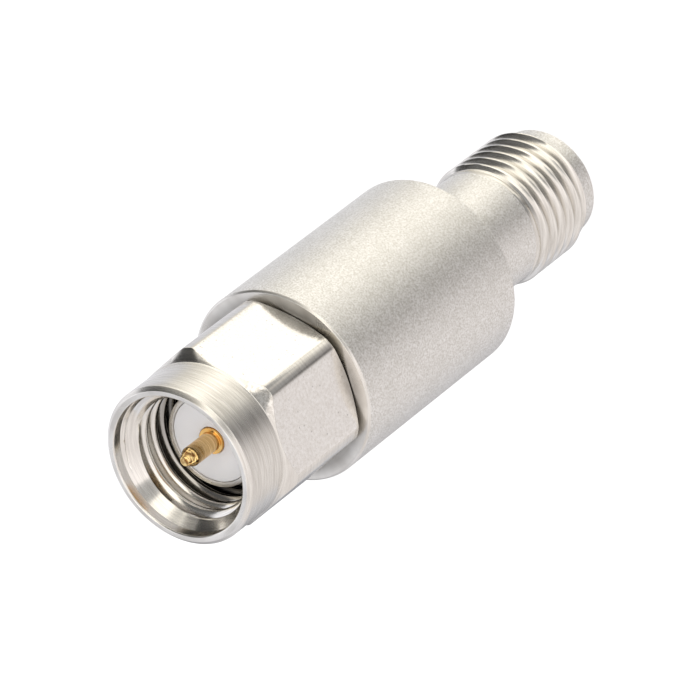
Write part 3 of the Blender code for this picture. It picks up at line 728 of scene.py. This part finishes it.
def saw_tab_slot(mesh, z_seat, into):
    """Takes the tab's slot out of the contact's stub, with a flat box as the saw."""
    end = z_seat + into * (SEAT + COLLAR_LENGTH + STUB_LENGTH)
    low, high = sorted((end - into * (TAB_GRIP + SEAT), end + into * SAW_PASS))
    form = bmesh.new()
    place = Matrix.Translation((0, 0, (low + high) / 2 * MM)) @ Matrix.Diagonal(
        (2 * COLLAR_RADIUS * MM, (TAB_THICKNESS + 2 * SEAT) * MM, (high - low) * MM, 1))
    bmesh.ops.create_cube(form, size=1.0, matrix=place)
    saw_mesh = bpy.data.meshes.new("saw")
    form.to_mesh(saw_mesh)
    form.free()
    saw = bpy.data.objects.new("saw", saw_mesh)
    work = bpy.data.objects.new("work", mesh)
    for each in (saw, work):
        bpy.context.scene.collection.objects.link(each)
    step = work.modifiers.new("saw", "BOOLEAN")
    step.operation = "DIFFERENCE"
    step.solver = "EXACT"
    step.object = saw
    seen = work.evaluated_get(bpy.context.evaluated_depsgraph_get())
    cut = bpy.data.meshes.new_from_object(seen)
    for each in (saw, work):
        bpy.data.objects.remove(each)
    return cut


def make_pin(gold, tip, shoulder):
    """The plug's pin: a blunt tapered tip, the pin, and the wider barrel in the insulator."""
    z_face = Z_PLUG_PLANE - INSULATOR_RECESS
    z_tip = z_face + PIN_LENGTH
    outline = filleted([
        (0.0, z_tip), (PIN_TIP, z_tip, PIN_TIP_FILLET), (PIN, z_tip - PIN_TAPER, BLUNT),
        (PIN, z_face + PIN_SHOULDER, CRISP), (CONTACT, z_face + PIN_SHOULDER, EASED)]
        + contact_tail(Z_SPIGOT_REAR, -1), 4)
    angles = even_columns(CONTACT_COLUMNS)
    mesh = grid_mesh("plug_pin_skin", *rings(outline, angles), angles, ring=False)
    mesh = saw_tab_slot(mesh, Z_SPIGOT_REAR, -1)
    tip_starts, shoulder_ends = z_tip - PIN_TAPER - STEP, z_face + PIN_SHOULDER + HAIR / 2
    # Slots: 0 gold, 1 tip, 2 shoulder
    paint_zones(mesh, lambda centre, _: np.select(
        [centre[:, 2] > tip_starts, centre[:, 2] < shoulder_ends], [1, 2], 0))
    add_piece("plug_pin_skin", mesh, [gold, tip, shoulder], BODY, "plug_pin")


def make_socket(gold):
    """The jack's socket: a drilled barrel whose wall is sawn into four fingers.

    A finger's outline is swept between its two saw cuts. The cuts are parallel sided, so at a
    radius r the sweep starts and ends asin(half the cut / r) inside the quarter turn.
    """
    z_face = Z_JACK_PLANE + INSULATOR_RECESS
    z_root = z_face + SOCKET_SLOT_DEPTH
    outline = filleted([
        (0.0, z_face + SOCKET_DEPTH + SOCKET_BORE * DRILL_SLOPE),
        (SOCKET_BORE, z_face + SOCKET_DEPTH), (SOCKET_BORE, z_root), (CONTACT, z_root)]
        + contact_tail(Z_CAVITY_FLOOR, 1))
    angles = even_columns(CONTACT_COLUMNS)
    barrel = grid_mesh("barrel", *rings(outline, angles), angles, ring=False)
    barrel = saw_tab_slot(barrel, Z_CAVITY_FLOOR, 1)
    finger = filleted([
        (SOCKET_BORE, z_root), (SOCKET_BORE, z_face + SOCKET_LEAD_IN, SHARP),
        (SOCKET_BORE + SOCKET_LEAD_IN, z_face, SHARP), (CONTACT, z_face, BROKEN),
        (CONTACT, z_root)])
    share = np.linspace(0, 1, FINGER_COLUMNS)
    radius, height = rings(finger, share)
    index = np.arange(radius.size).reshape(radius.shape)
    ends = [index[:, 0].tolist(), index[::-1, -1].tolist()]
    inset = np.arcsin(SOCKET_SLOT / 2 / radius)
    turn = 2 * pi / SOCKET_FINGERS
    form = bmesh.new()
    form.from_mesh(barrel)
    for number in range(SOCKET_FINGERS):
        sweep = number * turn + inset + (turn - 2 * inset) * share
        part = bpy.data.meshes.new("finger")
        part.from_pydata(
            grid_points(radius, height, sweep).tolist(), [], grid_quads(index).tolist() + ends)
        tidy_mesh(part)
        form.from_mesh(part)
        bpy.data.meshes.remove(part)
    whole = bpy.data.meshes.new("jack_socket_skin")
    form.to_mesh(whole)
    form.free()
    add_piece("jack_socket_skin", whole, [gold], BODY, "jack_socket")


def dress_hidden_nodes():
    """Finishes for the pieces that lie sealed inside, which keep their CAD shapes: rolled
    bronze and turned brass with a soft shine, matt white alumina, matt black resistive ink,
    pale silver ink with a dull shine, and bright gilt tabs."""
    bronze = plain_grain("phosphor_bronze_strip", "#A87F50", "#C79C69", 0.2, 1.0, (0.28, 0.4))
    brass = plain_grain("turned_brass", "#B9944F", "#D5B16C", 0.25, 1.0, (0.25, 0.38))
    alumina = plain_grain("fired_alumina", "#E6E5DF", "#F1F0EC", 0.05, 0.0, (0.5, 0.65))
    resistive = plain_grain(
        "printed_resistive_film", "#17191A", "#26292A", 0.04, 0.0, (0.45, 0.6))
    silver = plain_grain("printed_silver_film", "#C9C7C2", "#DEDCD7", 0.05, 1.0, (0.35, 0.5))
    gilt = plain_grain("gold_plated_tab", "#DDA544", "#F0C064", 0.15, 1.0, (0.2, 0.3))
    finishes = {
        "retaining_ring": bronze, "carrier_lower": brass, "carrier_upper": brass,
        "attenuator_card": alumina, "resistor_film": resistive, "plug_track": silver,
        "jack_track": silver, "ground_strip_left": silver, "ground_strip_right": silver,
        "plug_tab": gilt, "jack_tab": gilt}
    for name, finish in finishes.items():
        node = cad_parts[name]
        node.data.materials.clear()
        node.data.materials.append(finish)


# Studio

# Where the studio is seen from: the camera looks down on the nut at 45 degrees from the side,
# and is rolled so that the axis runs from lower left to upper right.
CAMERA_PLACE_MM = (94.54, -181.37, 225.51)
CAMERA_RIGHT = (-0.28128, -0.78411, -0.55323)
CAMERA_UP = (0.90270, -0.02060, -0.42977)
FOCAL_PIXELS = 6500.0
FRAME_PIXELS = 700.0
SENSOR_MM = 36.0

# Level of the studio's walls round the horizon, by azimuth in degrees: a strip light at 0, the
# dark side of the camera at -72, pale walls beyond it, and a dim corner at 130.
WALL_LEVELS = [
    (-180, 0.55), (-160, 0.62), (-130, 0.63), (-108, 0.58), (-96, 0.49), (-84, 0.27),
    (-72, 0.11), (-60, 0.28), (-48, 0.88), (-36, 0.79), (-24, 0.80), (-12, 1.05), (0, 1.15),
    (12, 0.88), (24, 0.70), (36, 0.60), (50, 0.57), (84, 0.67), (117, 0.81), (122, 0.27),
    (132, 0.24), (144, 0.29), (158, 0.45), (180, 0.55)]
# The same for the studio above the horizon: a bright ceiling, less behind the object.
CEILING_LEVELS = [
    (-180, 0.62), (-130, 0.68), (-85, 0.85), (-30, 1.1), (0, 1.25), (30, 1.2), (60, 0.95),
    (117, 0.57), (180, 0.62)]
TOP_LEVEL = 1.25          # the wall or ceiling level that stands for the whole strength
WALL_TO_CEILING = (-0.35, 0.2)  # heights on the unit sphere between which one gives way
# Tints, each up to an azimuth: a rosy side, a warm one by the strip light, and a cool one
TINTS = [(-50, colour("#FFFAF9")), (45, colour("#FFFBF2")), (181, colour("#F7F8FF"))]
# Cards, each as azimuth, elevation and half its width in degrees, and its level. Two large dark
# ones and a small one stand behind the object and edge the threads' flanks and the chamfers. A
# dim one lies low under the camera, one is the camera's own hole, and a bright one overhead
# lights the plug's insulator.
CARDS = [
    (30.0, 40.0, 23.5, 0.075), (42.0, 14.0, 17.0, 0.03), (2.0, 42.0, 13.0, 0.09),
    (-57.0, -13.0, 27.0, 0.21), (-61.0, 44.0, 13.0, 0.24), (118.0, 84.0, 16.0, 1.2)]
CARD_BLUR = 1.0
STUDIO_STRENGTH = 1.7
FLOOR_REACH = 1.5         # in metres
FLOOR_GLOW = 1.2
GLOW_SHARE = 0.75


def light_studio():
    """The world. The camera sees white. Light and reflections come from a pale studio: walls
    whose level changes with the azimuth, a ceiling that takes over from them above the horizon,
    and cards, round patches of one level with soft edges, laid over both."""
    world = bpy.data.worlds.new("studio")
    world.use_nodes = True
    bpy.context.scene.world = world
    tree = world.node_tree
    tree.nodes.clear()
    way = add_node(tree, "TexCoord").outputs["Generated"]
    parts = add_node(tree, "SeparateXYZ", inputs={"Vector": way})
    turn = add_node(tree, "Math", {"operation": "ARCTAN2"}, {
        0: parts.outputs["Y"], 1: parts.outputs["X"]})
    share = add_node(tree, "MapRange", inputs={
        "Value": turn.outputs[0], "From Min": -pi, "From Max": pi})

    def room_half(levels):
        stops = []
        for azimuth, level in levels:
            tint = next(tone for end, tone in TINTS if azimuth < end)
            shade = tuple(level / TOP_LEVEL * t for t in tint[:3])
            stops.append(((azimuth + 180) / 360, shade + (1.0,)))
        ramp = add_node(tree, "ValToRGB", inputs={"Fac": share.outputs["Result"]}, stops=stops)
        return ramp.outputs["Color"]

    low, high = WALL_TO_CEILING
    rise = add_node(tree, "MapRange", {"interpolation_type": "SMOOTHSTEP"}, {
        "Value": parts.outputs["Z"], "From Min": low, "From Max": high})
    room = add_node(tree, "Mix", {"data_type": "RGBA"}, {
        "Factor": rise.outputs["Result"],
        "A": room_half(WALL_LEVELS), "B": room_half(CEILING_LEVELS)})
    for azimuth, elevation, half, level in CARDS:
        az, el = radians(azimuth), radians(elevation)
        card_way = (cos(el) * cos(az), cos(el) * sin(az), sin(el))
        near = add_node(tree, "VectorMath", {"operation": "DOT_PRODUCT"}, {0: way, 1: card_way})
        edge = add_node(tree, "MapRange", {"interpolation_type": "SMOOTHSTEP"}, {
            "Value": near.outputs["Value"], "From Min": cos(radians(half + CARD_BLUR)),
            "From Max": cos(radians(half - CARD_BLUR))})
        room = add_node(tree, "Mix", {"data_type": "RGBA"}, {
            "Factor": edge.outputs["Result"], "A": room.outputs["Result"], "B": colour(level)})
    studio = add_node(tree, "Background", inputs={
        "Color": room.outputs["Result"], "Strength": STUDIO_STRENGTH})
    backdrop = add_node(tree, "Background", inputs={"Color": colour(1.0), "Strength": 1.0})
    seen = add_node(tree, "LightPath").outputs["Is Camera Ray"]
    both = add_node(tree, "MixShader", inputs={
        0: seen, 1: studio.outputs[0], 2: backdrop.outputs[0]})
    add_node(tree, "OutputWorld", inputs={"Surface": both.outputs[0]})


def lay_floor():
    """A white floor under the jack's end face: a disc with its corners evenly round a circle.
    It is white to the camera, apart from the soft shadow round the foot, and the metal looks
    past it at the studio."""
    made = bpy.data.materials.new("white_floor")
    made.use_nodes = True
    tree = made.node_tree
    tree.nodes.clear()
    paper = add_node(tree, "BsdfDiffuse", inputs={"Color": colour("#F7F7F7")})
    glow = add_node(tree, "Emission", inputs={"Color": colour(1.0), "Strength": FLOOR_GLOW})
    shade = add_node(tree, "MixShader", inputs={
        0: GLOW_SHARE, 1: paper.outputs[0], 2: glow.outputs[0]})
    seen = add_node(tree, "LightPath").outputs["Is Camera Ray"]
    both = add_node(tree, "MixShader", inputs={
        0: seen, 1: paper.outputs[0], 2: shade.outputs[0]})
    add_node(tree, "OutputMaterial", inputs={"Surface": both.outputs[0]})
    mesh = bpy.data.meshes.new("floor")
    turn = even_columns(FLOOR_COLUMNS)[:-1]
    points = FLOOR_REACH * np.stack([np.cos(turn), np.sin(turn), np.zeros_like(turn)], -1)
    mesh.from_pydata(points.tolist(), [], [list(range(FLOOR_COLUMNS))])
    mesh.materials.append(made)
    floor = bpy.data.objects.new("floor", mesh)
    bpy.context.scene.collection.objects.link(floor)
    floor.visible_glossy = False


def place_camera():
    """The camera that was fitted to the photograph. Its axes are the columns of its turn."""
    lens = bpy.data.cameras.new("view")
    lens.sensor_width = SENSOR_MM
    lens.lens = SENSOR_MM * FOCAL_PIXELS / FRAME_PIXELS
    lens.clip_start = 0.01
    lens.clip_end = 10.0
    camera = bpy.data.objects.new("view", lens)
    right, up = Vector(CAMERA_RIGHT).normalized(), Vector(CAMERA_UP).normalized()
    turn = Matrix((right, up, right.cross(up))).transposed().to_4x4()
    camera.matrix_world = Matrix.Translation(Vector(CAMERA_PLACE_MM) * MM) @ turn
    bpy.context.scene.collection.objects.link(camera)
    bpy.context.scene.camera = camera


bpy.context.scene.view_settings.view_transform = "Standard"
place_camera()
light_studio()
lay_floor()

# Turned steel as each part of the object shows it: plain on the sleeve, with painted shade in the
# thread's roots, with painted shade in the roots and deep in the nut's bore, faced on the nut, and
# on the ring at the body's front, with a painted shadow where the nut overhangs it
blasted = bead_blasted_steel()
turned = turned_steel("turned_stainless_steel", 0.26, 0.16)
outer_thread = turned_steel("thread_cut_steel_with_painted_root_shade", 0.2, 0.2, painted_shade_by_radius=(2.7, 2.92, 0.75))
inner_thread = turned_steel(
    "tapped_steel_with_painted_shade", 0.16, 0.2, painted_shade_by_radius=(3.26, 3.12, 0.35), painted_shade_by_height=(26.6, 27.9, 0.22))
faced = turned_steel(
    "faced_stainless_steel", 0.17, 0.045, tones=("#E2DED8", "#F1EEE8"), grooved=0.7)
ring = turned_steel("ring_faced_stainless_steel", 0.3, 0.1)
# Painted shadow: the ring's colour darkens towards the nut, where the nut overhangs it
shaded = turned_steel("ring_with_painted_shadow_under_nut", 0.3, 0.1, painted_shade_by_radius=(4.1, 4.5, 0.6))
chattered = chattered_steel()
milled = milled_steel()
# Gold on the pin, with a coarse cutter's marks on its tip and a darker tone there that is a
# painted dark reflection, and polished on its shoulder, with a brighter, oranger tone that is a
# painted highlight
gold = gold_plate("gold_plate_on_turned_contact", "#CBA266", "#F4D39C", (0.16, 0.28), 0.6)
gold_tip = gold_plate(
    "gold_plate_on_coarse_turned_tip_painted_dark", "#8E5C2A", "#FFE2A0", (0.05, 0.1), 0.4, (0.3, 0.3, 0.07))
# Painted highlight: a brighter, oranger gold than the rest of the pin
gold_shoulder = gold_plate(
    "gold_plate_on_polished_shoulder_painted_bright", "#F0B45C", "#FFDC96", (0.1, 0.16), 0.3)
plastic = ptfe()

make_housing(blasted, outer_thread, ring, shaded)
make_plug_shell(turned)
make_nut(turned, milled, inner_thread, faced, chattered)
make_insulator("plug_insulator_bead", Z_PLUG_PLANE - INSULATOR_RECESS, Z_SPIGOT_REAR, -1,
               plastic, "plug_insulator")
make_insulator("jack_insulator_bead", Z_JACK_PLANE + INSULATOR_RECESS, Z_CAVITY_FLOOR, 1,
               plastic, "jack_insulator")
make_pin(gold, gold_tip, gold_shoulder)
make_socket(gold)
dress_hidden_nodes()
